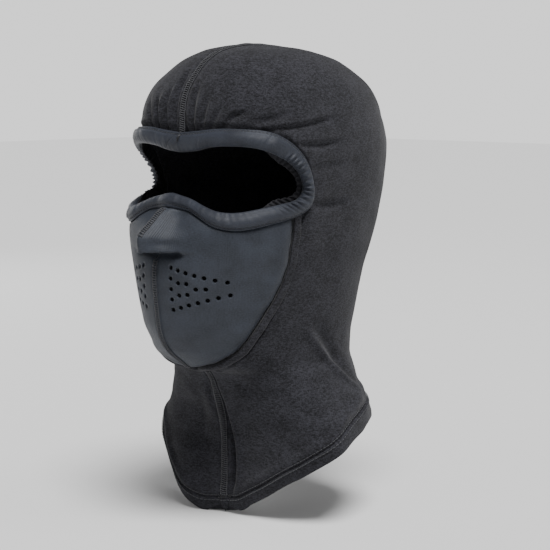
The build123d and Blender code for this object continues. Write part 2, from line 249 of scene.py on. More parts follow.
def skin(places):
    """Points of the cloth's outer surface at azimuths in degrees and heights."""
    places = np.asarray(places, float)
    azimuth, height = np.radians(places[..., 0]), places[..., 1]
    share, power = dome_share(height), crown_power(azimuth)
    shrink = np.maximum(1 - share ** power, 0.0) ** (1 / power)
    radius = shrink * section_radius(azimuth, height)
    x = radius * np.sin(azimuth)
    y = centre_shift(height) - radius * np.cos(azimuth)
    y = y - np.where(np.cos(azimuth) > 0, nose_depth(x, height), 0.0)
    return np.stack([x, y, height], -1)


def azimuth_of(points):
    """Azimuth in radians, and how far ahead of the section's centre, without the nose."""
    ahead = centre_shift(points[..., 2]) - points[..., 1]
    ahead = ahead - np.where(ahead > 0, nose_depth(points[..., 0], points[..., 2]), 0.0)
    return np.arctan2(points[..., 0], ahead), ahead


def outside(points):
    """Zero on the skin, positive outside it."""
    azimuth, ahead = azimuth_of(points)
    share, power = dome_share(points[..., 2]), crown_power(azimuth)
    distance = np.hypot(points[..., 0], ahead) / section_radius(azimuth, points[..., 2])
    return distance ** power + share ** power - 1


def gradient(points, step=0.05):
    parts = []
    for axis in range(3):
        move = np.zeros(3)
        move[axis] = step
        parts.append((outside(points + move) - outside(points - move)) / (2 * step))
    return np.stack(parts, -1)


def normals(points):
    return unit(gradient(points))


def onto_skin(points):
    for _ in range(4):
        slope = gradient(points)
        away = outside(points) / np.maximum((slope * slope).sum(-1), 1e-12)
        points = points - slope * away[..., None]
    return points


# ---- folds and relief
# Each crease: its path as azimuth and height, its half width, how far it stands up (a valley is
# negative), and for some how much higher the cloth is on its left-hand side, seen along the path.
CREASES = [
    # drawn back from the outer corner of the eye opening and over the brow, wearer's left
    ([(46, 50.5), (58, 52), (75, 55.5), (90, 59)], 2.0, -3.1, 1.6),
    ([(62, 39.5), (75, 39.5), (93, 41.5)], 2.1, -2.9, 1.2),
    ([(69, -4), (84, -4.5), (100, -3.5)], 2.5, -2.1, 1.0),
    ([(70, 22), (82, 24), (96, 25)], 2.2, -1.3, 0.4),
    ([(29, 58), (34, 61), (40, 63)], 2.0, -2.0, 0.6),
    ([(40, 54), (50, 58), (62, 63)], 3.0, -1.9, 0.8),
    # the same on the wearer's right
    ([(-48, 50), (-60, 52.5), (-78, 57)], 2.4, -2.1, -1.0),
    ([(-63, 36), (-78, 37), (-95, 40)], 2.2, -1.9, -0.9),
    ([(-69, -5), (-84, -7), (-97, -7)], 2.2, -1.4, -0.6),
    # gathers above the brow, either side of the crown seam
    ([(-6.5, 47), (-7, 62), (-8, 78), (-9, 92)], 2.6, -4.6),
    ([(-10, 47), (-10.5, 62), (-12, 80)], 2.0, 1.9),
    ([(-13.5, 47), (-14, 60), (-15, 80)], 2.0, -3.2),
    ([(-17, 48), (-18, 60), (-20, 76)], 1.7, 2.0),
    ([(-20.5, 48), (-22, 60), (-24, 74)], 1.8, -3.0),
    ([(-26, 49), (-29, 60), (-33, 72)], 2.2, -2.2),
    ([(4.6, 47), (4.6, 62), (5, 84)], 1.7, 1.3),
    ([(7, 47), (7.5, 60), (9, 82)], 1.9, -2.2),
    ([(10, 48), (11, 60), (13, 76)], 1.8, 1.2),
    ([(13, 48), (14.5, 58), (18, 74)], 2.0, -1.9),
    ([(18, 49), (21, 56), (27, 68)], 2.2, -1.4, 0.2),
    ([(24, 50), (29, 55), (36, 64)], 2.2, -1.0, 0.2),
    # sides of the neck: long folds that run down and back, deeper on the wearer's left
    ([(74, -97), (88.7, -116), (103, -133.5), (113, -144), (124, -153)], 3.4, 3.0),
    ([(84, -98), (98, -118), (111, -135), (122, -146)], 5.5, -2.6),
    ([(-78, -100), (-92, -120), (-106, -138)], 4.0, 2.2),
    ([(-86, -100), (-100, -121), (-113, -140)], 5.5, -1.8),
    # back of the neck
    ([(140, -118), (180, -124), (220, -118)], 6.0, -1.8),
    ([(128, -138), (180, -143), (232, -138)], 5.0, 1.4),
    ([(150, -96), (180, -98), (210, -96)], 6.0, -0.9),
    # throat: the deep fold beside the seam, and the soft ones under the chin
    ([(3, -150), (7, -170), (12.5, -188), (13, -205), (11, -222), (8, -236)], 3.2, -5.5),
    ([(11, -166), (20, -186), (22, -205), (19, -224)], 3.6, 2.4),
    ([(-4, -137), (-8, -149), (-6, -168)], 3.2, -1.8),
    ([(-20, -150), (-28, -172), (-26, -196)], 6.0, -1.4),
    ([(26, -137), (44, -146), (60, -150)], 6.0, -1.2),
    ([(-30, -136), (-50, -146), (-66, -150)], 6.0, -1.2),
    ([(48, -168), (60, -180), (66, -196)], 9.0, -1.2),
]
WAVES = np.random.default_rng(7)
WAVE_COUNT = 26
WAVE_DIRECTIONS = unit(WAVES.normal(size=(WAVE_COUNT, 3)))
WAVE_LENGTHS = WAVES.uniform(38, 95, WAVE_COUNT)
WAVE_PHASES = WAVES.uniform(0, 2 * math.pi, WAVE_COUNT)


def waves(points, shrink=1.0):
    """Slow uneven swells either side of 0, the same at the same place."""
    total = np.zeros(points.shape[:-1])
    for direction, length, phase in zip(WAVE_DIRECTIONS, WAVE_LENGTHS, WAVE_PHASES):
        total += np.sin(points @ direction * (2 * math.pi / (length * shrink)) + phase)
    return total / math.sqrt(WAVE_COUNT)


def path_frames(places):
    """The points of a crease's path on the skin and the way across it at each of its spans."""
    path = skin(curve_through(places)(np.linspace(0, 1, 4 * len(places))))
    across = np.cross(normals((path[1:] + path[:-1]) / 2), np.diff(path, axis=0))
    return path, unit(across)


CREASE_PATHS = [path_frames(crease[0]) for crease in CREASES]


def path_distance(points, path, sideways):
    """Distance to a line of points, its signed side, and the share of the way along it."""
    best = np.full(points.shape[:-1], 1e9)
    side = np.zeros(points.shape[:-1])
    share = np.zeros(points.shape[:-1])
    lengths = np.linalg.norm(np.diff(path, axis=0), axis=1)
    total = lengths.sum()
    done = 0.0
    for a, b, length, way in zip(path, path[1:], lengths, sideways):
        direction = (b - a) / length
        along = np.clip((points - a) @ direction, 0, length)
        offset = points - a - along[..., None] * direction
        distance = np.linalg.norm(offset, axis=-1)
        across = offset @ way
        closer = distance < best
        best = np.where(closer, distance, best)
        side = np.where(closer, across, side)
        share = np.where(closer, (done + along) / total, share)
        done += length
    return best, side, share


def creased(points):
    """How far all the creases lift the cloth."""
    lift = np.zeros(points.shape[:-1])
    for (_, width, height, *steps), (path, sideways) in zip(CREASES, CREASE_PATHS):
        distance, side, share = path_distance(points, path, sideways)
        fade = np.sin(np.pi * np.clip(share, 0.02, 0.98)) ** 0.55
        stepped = sum(steps) * hill(distance, 0, 2.2 * width) * np.tanh(side / width)
        lift += fade * (height * hill(distance, 0, width) + stepped)
    return lift


HEM_CURVE = curve_through(HEM)
HEM_TABLE = HEM_CURVE(np.linspace(0, 1, 200))


def above_hem(points):
    """Height above the bottom edge, and azimuth in degrees to either side."""
    azimuth = np.degrees(np.abs(azimuth_of(points)[0]))
    return points[..., 2] - np.interp(azimuth, HEM_TABLE[:, 0], HEM_TABLE[:, 1]), azimuth


def hood_relief(points):
    """How far the hood's cloth stands off the plain skin."""
    above, azimuth = above_hem(points)
    lift = creased(points) * smooth(above / 9) + 0.36 * waves(points) + 0.12 * waves(points, 0.3)
    x, z = points[..., 0], points[..., 2]
    # the panels dip a little into the crown seam and the throat seam
    lift -= 0.8 * hill(np.abs(x), 3.6, math.sqrt(2)) * smooth(above / 6)
    # the turned hem is thick, the coverstitch pulls a groove, and the cloth puffs out over it
    lift += 0.9 * smooth(above / 2.0) * smooth((HEM_DEPTH - above) / 1.5)
    lift -= 1.1 * hill(above, HEM_DEPTH + 0.3, 1.2)
    puff = 0.35 + 0.65 * smooth((azimuth - 22) / 20) * smooth((150 - azimuth) / 40)
    puff *= 1 + 0.35 * waves(points, 0.45)
    lift += 2.0 * puff * hill(above, HEM_DEPTH + 6.0, 4.0)
    lift -= 2.2 * smooth(1 - above / HEM_DEPTH)
    # the crown and a band above the brow are fuller, and the neck hangs out low on the right
    lift += 1.7 * smooth((z - 88) / 14) * (1 - 0.6 * smooth((z - 106) / 5))
    lift += 1.3 * hill(z, 55, 9) * smooth((azimuth - 16) / 20)
    right_front = hill(np.degrees(azimuth_of(points)[0]), -44, 26)
    lift += right_front * (5.5 * smooth((-184 - z) / 12) - 3.5 * hill(z, -166, 10))
    return lift + 8.0 * slack(points)


def slack(points):
    """Where the neck's cloth hangs loose, low on the wearer's right: 0 to 1."""
    azimuth = np.degrees(azimuth_of(points)[0])
    return hill(azimuth, -40, 24) * smooth((-172 - points[..., 2]) / 42)


def hung(points, lift):
    """Points of the skin moved out by the hood's relief and a lift, and let down where slack."""
    cloth = points + normals(points) * (hood_relief(points) + lift)[..., None]
    cloth[..., 2] -= 6.5 * slack(points)
    cloth[..., 0] = np.where(points[..., 0] == 0, 0.0, cloth[..., 0])
    return cloth


def on_hood(points, lift):
    """Places on the finished cloth of the hood, a little above or below it."""
    return hung(onto_skin(points), lift)


# ---- meshes
def make_mesh(name, vertices, faces, flat=None):
    """A smooth mesh from millimetre points; flat gives each vertex its place in the cloth."""
    mesh = bpy.data.meshes.new(name)
    vertices = np.asarray(vertices, float).reshape(-1, 3) * MM
    mesh.from_pydata(vertices.tolist(), [], [tuple(map(int, face)) for face in faces])
    if flat is not None:
        layer = mesh.uv_layers.new(name="cloth")
        corners = np.empty(len(mesh.loops), dtype=np.int32)
        mesh.loops.foreach_get("vertex_index", corners)
        flat = np.asarray(flat, float).reshape(-1, 2) * MM
        layer.data.foreach_set("uv", flat[corners].ravel())
    mesh.polygons.foreach_set("use_smooth", [True] * len(mesh.polygons))
    mesh.validate()
    piece = bpy.data.objects.new(name, mesh)
    bpy.context.collection.objects.link(piece)
    return piece


def grid_faces(rows, columns, wrap_rows=False, wrap_columns=False):
    i, j = np.meshgrid(
        np.arange(rows if wrap_rows else rows - 1),
        np.arange(columns if wrap_columns else columns - 1),
        indexing="ij",
    )
    below, beside = (i + 1) % rows, (j + 1) % columns
    corners = [i * columns + j, i * columns + beside, below * columns + beside, below * columns + j]
    return np.stack(corners, -1).reshape(-1, 4)


def flat_places(points):
    """The place in the cloth, in millimetres, of each point of a grid."""
    across = np.linalg.norm(np.diff(points, axis=1), axis=-1).cumsum(1)
    along = np.linalg.norm(np.diff(points, axis=0), axis=-1).cumsum(0)
    u = np.pad(across, ((0, 0), (1, 0)))
    v = np.pad(along, ((1, 0), (0, 0)))
    return np.stack([u, v], -1)


def thicken(piece, thickness):
    """Give a sheet its thickness, inwards from the surface that shows."""
    solid = piece.modifiers.new("thickness", "SOLIDIFY")
    solid.thickness = thickness * MM
    solid.offset = -1
    solid.use_rim = True


def area_of(piece):
    """Area of a sheet before its thickness, in square metres."""
    return sum(face.area for face in piece.data.polygons)


def tubes(paths, radius, sides=6):
    """Vertices and faces of round threads that taper to a point at both ends."""
    vertices, faces, start = [], [], 0
    turn = np.linspace(0, 2 * math.pi, sides, endpoint=False)
    for path in paths:
        path = np.asarray(path)
        count = len(path)
        ahead = unit(np.gradient(path, axis=0))
        helper = np.where(np.abs(ahead[:, 2:3]) < 0.9, [[0, 0, 1.0]], [[1.0, 0, 0]])
        first = unit(np.cross(ahead, helper))
        second = np.cross(ahead, first)
        size = radius * np.sin(np.linspace(0.25, math.pi - 0.25, count)) ** 0.35
        ring = np.cos(turn)[:, None] * first[:, None] + np.sin(turn)[:, None] * second[:, None]
        points = path[:, None] + ring * size[:, None, None]
        vertices.append(points.reshape(-1, 3))
        vertices.append(path[[0, -1]])
        body = grid_faces(count, sides, wrap_columns=True)[:, ::-1] + start
        faces.extend(body.tolist())
        tip = start + count * sides
        for k in range(sides):
            following = (k + 1) % sides
            last = start + (count - 1) * sides
            faces.append((start + following, tip, start + k))
            faces.append((last + k, tip + 1, last + following))
        start = tip + 2
    return np.concatenate(vertices), faces


def dress(piece, material, node):
    """Give a piece its cloth and its body, and hide the CAD part it stands for."""
    piece.data.materials.append(material)
    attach(piece, "root")
    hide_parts(node)


def sewn(name, node, paths, material, radius=THREAD):
    """One piece that holds all the threads of a line of stitching."""
    piece = make_mesh(name, *tubes(paths, radius))
    dress(piece, material, node)


def way_across(line):
    """The way across a line on the skin, at each of its points."""
    return unit(np.cross(normals(line), np.gradient(line, axis=0)))


def even_places(points, pitch):
    """Points along a line at an even pitch, with the way ahead at each."""
    lengths = np.concatenate([[0], np.linalg.norm(np.diff(points, axis=0), axis=1).cumsum()])
    count = max(int(lengths[-1] / pitch), 2)
    at = (np.arange(count) + 0.5) * lengths[-1] / count
    place = np.stack([np.interp(at, lengths, points[:, k]) for k in range(3)], -1)
    return place, unit(np.gradient(place, axis=0))


def beside(place, ahead, side, across, along):
    """Threads, one for each place: points set off across the line and along it."""
    return place[:, None] + side[:, None] * across[:, None] + ahead[:, None] * along[:, None]


def flatlock(line, half_width, pitch, surface, lean=0.35):
    """A flatlock seam's threads: two rows of stitches and the rungs between them."""
    place, ahead = even_places(line, pitch)
    side = np.cross(normals(onto_skin(place)), ahead)
    span = np.linspace(-1, 1, 7)
    arch = np.cos(span * math.pi / 2)
    rungs = beside(place, ahead, side, span * half_width, span * lean * pitch)
    paths = list(surface(rungs, 0.3 + 0.36 * arch ** 0.6))
    for edge in (-half_width, half_width):
        row = beside(place, ahead, side, np.full(7, edge), span * 0.43 * pitch)
        paths.extend(surface(row, 0.24 + 0.3 * arch))
    return paths


def running(line, offsets, pitch, surface, filled=0.8):
    """Rows of plain stitches beside a line."""
    place, ahead = even_places(line, pitch)
    side = np.cross(normals(onto_skin(place)), ahead)
    span = np.linspace(-1, 1, 6)
    paths = []
    for offset in offsets:
        row = beside(place, ahead, side, np.full(6, offset), span * filled * pitch / 2)
        paths.extend(surface(row, 0.15 + 0.36 * np.cos(span * math.pi / 2)))
    return paths


# ---- hood
def to_map(places):
    """Places on the skin as spots on a flat map that has the top of the crown in its middle."""
    places = np.asarray(places, float)
    azimuth, share = np.radians(places[..., 0]), dome_share(places[..., 1])
    power = crown_power(azimuth)
    over = np.arctan2(np.maximum(1 - share ** power, 0) ** (1 / power), share)
    below = math.pi / 2 + (DOME_START - places[..., 1]) / (CROWN_HEIGHT - DOME_START)
    distance = np.where(share > 0, over, below)
    return np.stack([distance * np.sin(azimuth), distance * np.cos(azimuth)], -1)


def from_map(spots):
    """The azimuth and height of spots on that map."""
    distance = np.linalg.norm(spots, axis=-1)
    azimuth = np.arctan2(spots[..., 0], spots[..., 1])
    power = crown_power(azimuth)
    on_dome = np.minimum(distance, math.pi / 2)
    size = (np.sin(on_dome) ** power + np.cos(on_dome).clip(0) ** power) ** (1 / power)
    dome = (CROWN_HEIGHT - DOME_START) * np.cos(on_dome) / size
    below = (CROWN_HEIGHT - DOME_START) * np.maximum(distance - math.pi / 2, 0)
    return np.stack([np.degrees(azimuth), DOME_START + dome - below], -1)


def fill_patch(start_side, end_side, first_edge, last_edge, u):
    """A grid over a four-sided patch from the points of its sides."""
    v = np.linspace(0, 1, len(start_side))[:, None, None]
    u = u[None, :, None]
    grid = (1 - v) * first_edge[None] + v * last_edge[None]
    grid = grid + (1 - u) * start_side[:, None] + u * end_side[:, None]
    grid -= (1 - v) * ((1 - u) * first_edge[0] + u * first_edge[-1])
    grid -= v * ((1 - u) * last_edge[0] + u * last_edge[-1])
    return grid


def hood_grid():
    """The left panel on the plain skin: rows from the face to the hem, columns crown to throat."""
    # the columns lie closer together towards the crown seam and the throat seam
    even = np.linspace(0, 1, HOOD_COLUMNS)
    u = even - 0.5 * np.sin(2 * math.pi * even) / (2 * math.pi)
    v = np.linspace(0, 1, HOOD_ROWS)[:, None]
    edge = curve_through(to_map(HOOD_EDGE))(u)
    hem = curve_through(to_map(HEM[::-1]))(u)
    crown_line = edge[0] + v * (hem[0] - edge[0])
    throat_line = edge[-1] + v * (hem[-1] - edge[-1])
    points = skin(from_map(fill_patch(crown_line, throat_line, edge, hem, u)))
    points[:, [0, -1], 0] = 0.0
    return points


def mirrored(points):
    return points * np.array([-1.0, 1.0, 1.0])


def hood_panel(side, material):
    points = hood_grid() if side == "left" else mirrored(hood_grid())
    # the face edge tucks in under the binding and the edge roll
    from_face = np.linspace(0, 1, HOOD_ROWS)[:, None]
    tuck = smooth(1.4 - from_face * 70) * 1.7
    cloth = hung(points, -tuck)
    faces = grid_faces(HOOD_ROWS, HOOD_COLUMNS)
    if side == "right":
        faces = faces[:, ::-1]
    piece = make_mesh("hood_" + side, cloth, faces, flat_places(points))
    flat_area = area_of(piece)
    thicken(piece, HOOD_THICKNESS)
    dress(piece, material, "hood_panel_" + side)
    return piece, flat_area


def turned_hem(side, material):
    """The turned-up layer inside one side of the bottom edge."""
    share = np.linspace(0, 1, 180)
    low = HEM_CURVE(share)
    up = np.linspace(0.2, HEM_DEPTH + 0.8, 12)
    places = np.stack([np.stack([low[:, 0], low[:, 1] + rise], -1) for rise in up], 1)
    points = skin(places)
    if side == "right":
        points = mirrored(points)
    cloth = on_hood(points, -HOOD_THICKNESS - 0.15)
    faces = grid_faces(len(share), len(up))
    if side == "left":
        faces = faces[:, ::-1]
    piece = make_mesh("hem_" + side, cloth, faces, flat_places(points))
    thicken(piece, HEM_FOLD_THICKNESS)
    dress(piece, material, "bottom_hem_" + side)
    return piece


# ---- eye opening
def loop_edges():
    """The binding's outer and inner edge, as closed rings of points on the skin."""
    share = np.linspace(0, 1, LOOP_POINTS)
    steps = range(-LOOP_EASING, LOOP_EASING + 1)
    edges = []
    for outline in (BINDING_OUTER, BINDING_INNER):
        half = skin(curve_through(outline, even=True)(share))
        ring = np.concatenate([half, mirrored(half)[-2:0:-1]])
        ring = sum(np.roll(ring, step, 0) for step in steps) / len(steps)
        edges.append(onto_skin(ring))
    outer, inner = edges
    return [onto_skin(outer + BINDING_LAP * unit(outer - inner)), inner]


def along_loop(edges):
    """The loop's middle line, the way travelled along it, and its azimuth to either side."""
    middle = (edges[0] + edges[1]) / 2
    way = np.linalg.norm(np.roll(middle, -1, 0) - middle, axis=1).cumsum()[:, None]
    return middle, way, np.degrees(np.abs(azimuth_of(middle)[0]))[:, None]


def binding_surface(edges, across, lift):
    """Points over the binding: across runs from its outer edge to its inner one."""
    outer, inner = edges
    base = onto_skin(outer[:, None] + (inner - outer)[:, None] * across[..., None])
    return base + normals(base) * lift[..., None]


def binding_lift(edges, across):
    """The padded roll, its join at the brow, its stitched groove and its puckers."""
    middle, way, azimuth = along_loop(edges)
    crown = 0.6 + 4.6 * np.sqrt(np.maximum(1 - (2 * across - 1) ** 2, 0.0))
    groove = 1.5 * hill(across, STITCH_LINE, 0.055)
    corner = smooth((azimuth - 50) / 14)
    uneven = waves(middle, 0.35)[:, None]
    fine = np.sin(way * 2 * math.pi / 4.6 + 2.4 * uneven)
    broad = np.sin(way * 2 * math.pi / 13.0 + 3.0 * uneven + 1.1)
    gather = (0.12 + 1.25 * corner) * fine * np.clip(across - 0.25, 0, 1) * 1.4
    gather += 0.16 * broad * np.sin(math.pi * across)
    gather += 0.10 * np.sin(way * 2 * math.pi / 3.1) * hill(across, STITCH_LINE, 0.12)
    gather += 0.35 * uneven * np.sin(math.pi * across)
    # the strip's free end laps over its other end along a slant at the brow
    at_brow = smooth((middle[:, 2:] - 20) / 5)
    past_join = middle[:, :1] + 1.0 + 15.0 * across
    lap = smooth(past_join / 1.6) * smooth(1 - past_join / 30.0) * at_brow
    dent = hill(past_join, 0, 1.3) * at_brow
    return crown - groove + gather + 0.9 * lap - 0.6 * dent


def eye_binding(edges, material):
    across = np.linspace(0, 1, 23)
    outer_side = binding_surface(edges, across, binding_lift(edges, across))
    back = np.linspace(0.97, 0.03, 9)
    back_lift = np.full((len(edges[0]), len(back)), -HOOD_THICKNESS)
    inner_side = binding_surface(edges, back, back_lift)
    points = np.concatenate([outer_side, inner_side], 1)
    rows, columns = points.shape[:2]
    faces = grid_faces(rows, columns, wrap_rows=True, wrap_columns=True)
    piece = make_mesh("eye_binding", points, faces, flat_places(points))
    dress(piece, material, "eye_port_binding")


def eye_elastic(edges, material):
    """The ribbed tape inside, drawn in so that its free edge frills at the outer corners."""
    way, azimuth = along_loop(edges)[1:]
    corner = smooth((azimuth - 46) / 14)
    across = 0.18 + (0.78 + 0.36 * corner) * np.linspace(0, 1, 16)
    frill = corner * np.clip(across - 0.4, 0, 1) * 1.5
    lift = -HOOD_THICKNESS - 0.3 - 0.8 * frill - 0.5 * frill * np.sin(way * 2 * math.pi / 5.0)
    lift = lift + 0.06 * np.sin(across * 40)
    points = binding_surface(edges, across, lift)
    faces = grid_faces(*points.shape[:2], wrap_rows=True)
    piece = make_mesh("eye_elastic", points, faces, flat_places(points))
    thicken(piece, 0.8)
    dress(piece, material, "eye_port_elastic")


def binding_stitches(edges, material):
    """The row of stitches in the binding's groove."""
    pitch, filled = 2.7, 0.8
    across = np.array([STITCH_LINE])
    line = binding_surface(edges, across, binding_lift(edges, across))[:, 0]
    line = np.concatenate([line, line[:1]])
    place, ahead = even_places(line, pitch)
    out = normals(onto_skin(place))
    share = np.linspace(-0.5, 0.5, 6)
    rise = 0.1 + 0.3 * np.cos(share * math.pi)
    paths = beside(place, ahead, out, rise, share * filled * pitch)
    sewn("eye_topstitch", "eye_port_topstitch", paths, material, FINE_THREAD)


def brow_tack(edges, material):
    """A short zigzag row over the binding's join."""
    turns = 26
    across = np.linspace(0.12, 0.5, turns)
    below_brow = edges[0][:, 2] < 20
    at = int(np.argmin(np.abs(edges[0][:, 0] - 1.5) + 100 * below_brow))
    line = binding_surface(edges, across, binding_lift(edges, across))[at]
    out = normals(onto_skin(line))
    sideways = np.array([1.0, 0.0, 0.15]) * np.where(np.arange(turns) % 2, 1.1, -1.1)[:, None]
    sewn("brow_tack", "brow_bartack", [line + sideways + out * 0.3], material, FINE_THREAD)


# ---- mask
MASK_EDGE = skin(curve_through(MASK_SIDE)(np.linspace(0, 1, 120)))
MASK_EDGE_BOTH = np.concatenate([MASK_EDGE, mirrored(MASK_EDGE)[-2::-1]])
MASK_TOP_LINE = skin(curve_through(MASK_TOP)(np.linspace(0, 1, 80)))


def line_distance(points, line):
    """Distance from each point to the nearest point of a dense line."""
    best = np.full(points.shape[:-1], 1e9)
    for spot in line:
        best = np.minimum(best, ((points - spot) ** 2).sum(-1))
    return np.sqrt(best)


def hole_centres():
    centres = []
    for column, count in enumerate(HOLE_COUNTS):
        x = HOLE_FIRST_X + HOLE_PITCH_X * column
        top = HOLE_TOP[0] + HOLE_TOP[1] * column
        bottom = HOLE_BOTTOM[0] + HOLE_BOTTOM[1] * column
        for row in range(count):
            centres.append((x, top + (bottom - top) * row / (count - 1)))
    return centres


def azimuth_at(x, height):
    """The azimuth where the front of the skin is a given distance from the middle plane."""
    low, high = np.zeros(np.shape(x)), np.full(np.shape(x), 60.0)
    for _ in range(30):
        middle = (low + high) / 2
        near = skin(np.stack([middle, np.broadcast_to(height, np.shape(x))], -1))[..., 0] < x
        low, high = np.where(near, middle, low), np.where(near, high, middle)
    return low


def mask_relief(points):
    """How far the mask's face stands off the plain skin."""
    x, z = np.abs(points[..., 0]), points[..., 2]
    left = np.stack([x, points[..., 1], z], -1)
    edge = line_distance(left, MASK_EDGE)
    top = line_distance(left, MASK_TOP_LINE)
    lift = MASK_LIFT + 0.28 * waves(points, 0.8) + 0.05 * waves(points, 0.22)
    lift = lift - 2.7 * (1 - np.sqrt(np.clip(edge / 4.5, 0, 1)))
    lift += 0.9 * hill(edge, 7.0, 4.0)
    lift -= 1.9 * (1 - smooth((top - 1.6) / 3.0))
    # the middle seam stands up as a ridge below the slit, with a groove either side of it
    ridge = smooth((-40 - z) / 8) * smooth((z + 122) / 22)
    lift += 1.9 * np.exp(-x / 4.5) * ridge
    lift -= 0.7 * hill(x, 2.6, 1.1)
    # the nose pocket's lower lip hangs over the slit
    reach = smooth((SLIT_HALF_LENGTH + 5 - x) / 8)
    lift -= 4.2 * reach * hill(z, SLIT_HEIGHT - 1.2, 2.6) * (z < SLIT_HEIGHT)
    bridge = smooth((z + 39) / 8) * smooth((-5 - z) / 8)
    lift += bridge * (2.4 * np.exp(-x / 3.2) - 1.8 * hill(x, 12, 6))
    return lift


def shaped(points, out, lift):
    """Points of the skin moved out by the mask's relief, with the nose pocket squared off."""
    cloth = points + out * (mask_relief(points) + lift)[..., None]
    z = points[..., 2]
    rise, pocket = nose_pocket(points[..., 0], z)
    hood_over = np.maximum(18.6 - rise, 0) * smooth((-27 - z) / 3) * (z > SLIT_HEIGHT)
    set_back = -rise * (z < SLIT_HEIGHT)
    cloth[..., 1] -= pocket * (hood_over + set_back)
    return cloth


def on_mask(points, lift):
    points = onto_skin(points)
    return shaped(points, normals(points), lift)


def inside(points, outline):
    """Which of the flat points lie inside a closed outline."""
    x, y = points[:, 0], points[:, 1]
    odd = np.zeros(len(points), bool)
    for (x1, y1), (x2, y2) in zip(outline, np.roll(outline, -1, 0)):
        if y1 == y2:
            continue
        crosses = (y1 > y) != (y2 > y)
        odd ^= crosses & (x < (x2 - x1) * (y - y1) / (y2 - y1) + x1)
    return odd


def mask_outline():
    """The left half's outline in flat millimetres, with the slit cut in from the middle."""
    top = curve_through(MASK_TOP)(np.linspace(0, 1, 62))
    side = curve_through(MASK_SIDE)(np.linspace(0, 1, 110))[1:]
    x = np.linspace(0, SLIT_HALF_LENGTH, 16)
    opening = SLIT_OPENING / 2 * np.sqrt(1 - (x / SLIT_HALF_LENGTH) ** 2)
    lower = np.stack([azimuth_at(x, SLIT_HEIGHT), SLIT_HEIGHT - opening], -1)
    upper = np.stack([azimuth_at(x, SLIT_HEIGHT), SLIT_HEIGHT + opening], -1)[::-1][1:]
    bottom, brow = MASK_SIDE[-1][1], MASK_TOP[0][1]
    up_low = np.linspace((0, bottom), (0, SLIT_HEIGHT - opening[0]), 58)[1:-1]
    up_high = np.linspace((0, SLIT_HEIGHT + opening[0]), (0, brow), 22)[1:-1]
    outline = np.concatenate([top, side, up_low, lower, upper, up_high])
    return outline * np.array([FLAT_SCALE, 1.0])


def hole_ring(x, height, radius):
    """The rim of one breathing hole, in flat millimetres."""
    turn = np.linspace(0, 2 * math.pi, 20, endpoint=False)[:, None]
    centre = skin((azimuth_at(np.array(x), height), height))
    out = normals(centre[None])[0]
    across = unit(np.cross(out, [0, 0, 1.0]))
    up = np.cross(across, out)
    ring = centre + radius * (np.cos(turn) * across + np.sin(turn) * up)
    return np.stack([np.degrees(azimuth_of(ring)[0]) * FLAT_SCALE, ring[:, 2]], -1)


def spots_within(outline, rings):
    """Evenly spread points inside the outline, clear of it and of the holes."""
    low, high = outline.min(0), outline.max(0)
    rows = np.arange(low[1], high[1], MASK_SPACING * 0.87)
    spots = np.array([
        (x, y)
        for k, y in enumerate(rows)
        for x in np.arange(low[0] + (k % 2) * MASK_SPACING / 2, high[0], MASK_SPACING)
    ])
    spots = spots[inside(spots, outline)]
    clear = np.full(len(spots), 1e9)
    for corner in np.concatenate([outline] + rings):
        clear = np.minimum(clear, np.hypot(*(spots - corner).T))
    spots = spots[clear > 0.62 * MASK_SPACING]
    for ring in rings:
        spots = spots[~inside(spots, ring)]
    return spots


def mask_triangles(hole_radius):
    """Flat points and triangles of the left half, with its holes left open."""
    outline = mask_outline()
    rings = [hole_ring(x, height, hole_radius) for x, height in hole_centres()]
    edges, start = [], 0
    for loop in [outline] + rings:
        count = len(loop)
        edges += [(start + k, start + (k + 1) % count) for k in range(count)]
        start += count
    every = np.concatenate([outline] + rings + [spots_within(outline, rings)])
    found = delaunay_2d_cdt([Vector(p) for p in every], edges, [], 0, 1e-5)
    points = np.array([tuple(p) for p in found[0]])
    triangles = np.array([face for face in found[2]])
    centres = points[triangles].mean(1)
    keep = inside(centres, outline)
    for ring in rings:
        keep &= ~inside(centres, ring)
    return points, triangles[keep]


def mask_half(name, node, side, material, hole_radius, lift, thickness):
    flat, triangles = mask_triangles(hole_radius)
    used, triangles = np.unique(triangles, return_inverse=True)
    triangles = triangles.reshape(-1, 3)
    flat = flat[used]
    points = skin(flat / np.array([FLAT_SCALE, 1.0]))
    points[np.abs(flat[:, 0]) < 1e-6, 0] = 0.0
    if side == "right":
        points = mirrored(points)
    out = normals(points)
    out[np.abs(points[:, 0]) < 1e-6, 0] = 0.0
    cloth = shaped(points, out, lift)
    first, second, third = points[triangles].transpose(1, 0, 2)
    facing = np.cross(second - first, third - first)
    backwards = (facing * out[triangles[:, 0]]).sum(1) < 0
    triangles[backwards] = triangles[backwards][:, ::-1]
    piece = make_mesh(name + "_" + side, cloth, triangles, flat)
    flat_area = area_of(piece)
    thicken(piece, thickness)
    dress(piece, material, node + "_" + side)
    return piece, flat_area


def edge_roll(material):
    """The hood's own edge, rolled outwards beside the mask."""
    line = MASK_EDGE_BOTH
    side = way_across(line)
    share = np.linspace(0, 1, 13)
    reach = 1.5 + 6.0 * share
    base = onto_skin(line[:, None] + side[:, None] * reach[:, None])
    round_back = np.sqrt(np.maximum(1 - (2 * share - 0.85) ** 2, 0.0))
    height = 0.3 + 2.2 * smooth((-55 - line[:, 2]) / 45)
    roll = 0.2 + height[:, None] * round_back
    roll = roll + 0.22 * waves(line, 0.3)[:, None] * np.sin(math.pi * share)
    face = base + normals(base) * roll[..., None]
    under = onto_skin(line[:, None] + side[:, None] * reach[::-2, None])
    under = under - normals(under) * HOOD_THICKNESS
    points = np.concatenate([face, under], 1)
    faces = grid_faces(len(line), points.shape[1], wrap_columns=True)[:, ::-1]
    piece = make_mesh("face_edge", points, faces, flat_places(points))
    dress(piece, material, "face_edge_roll")


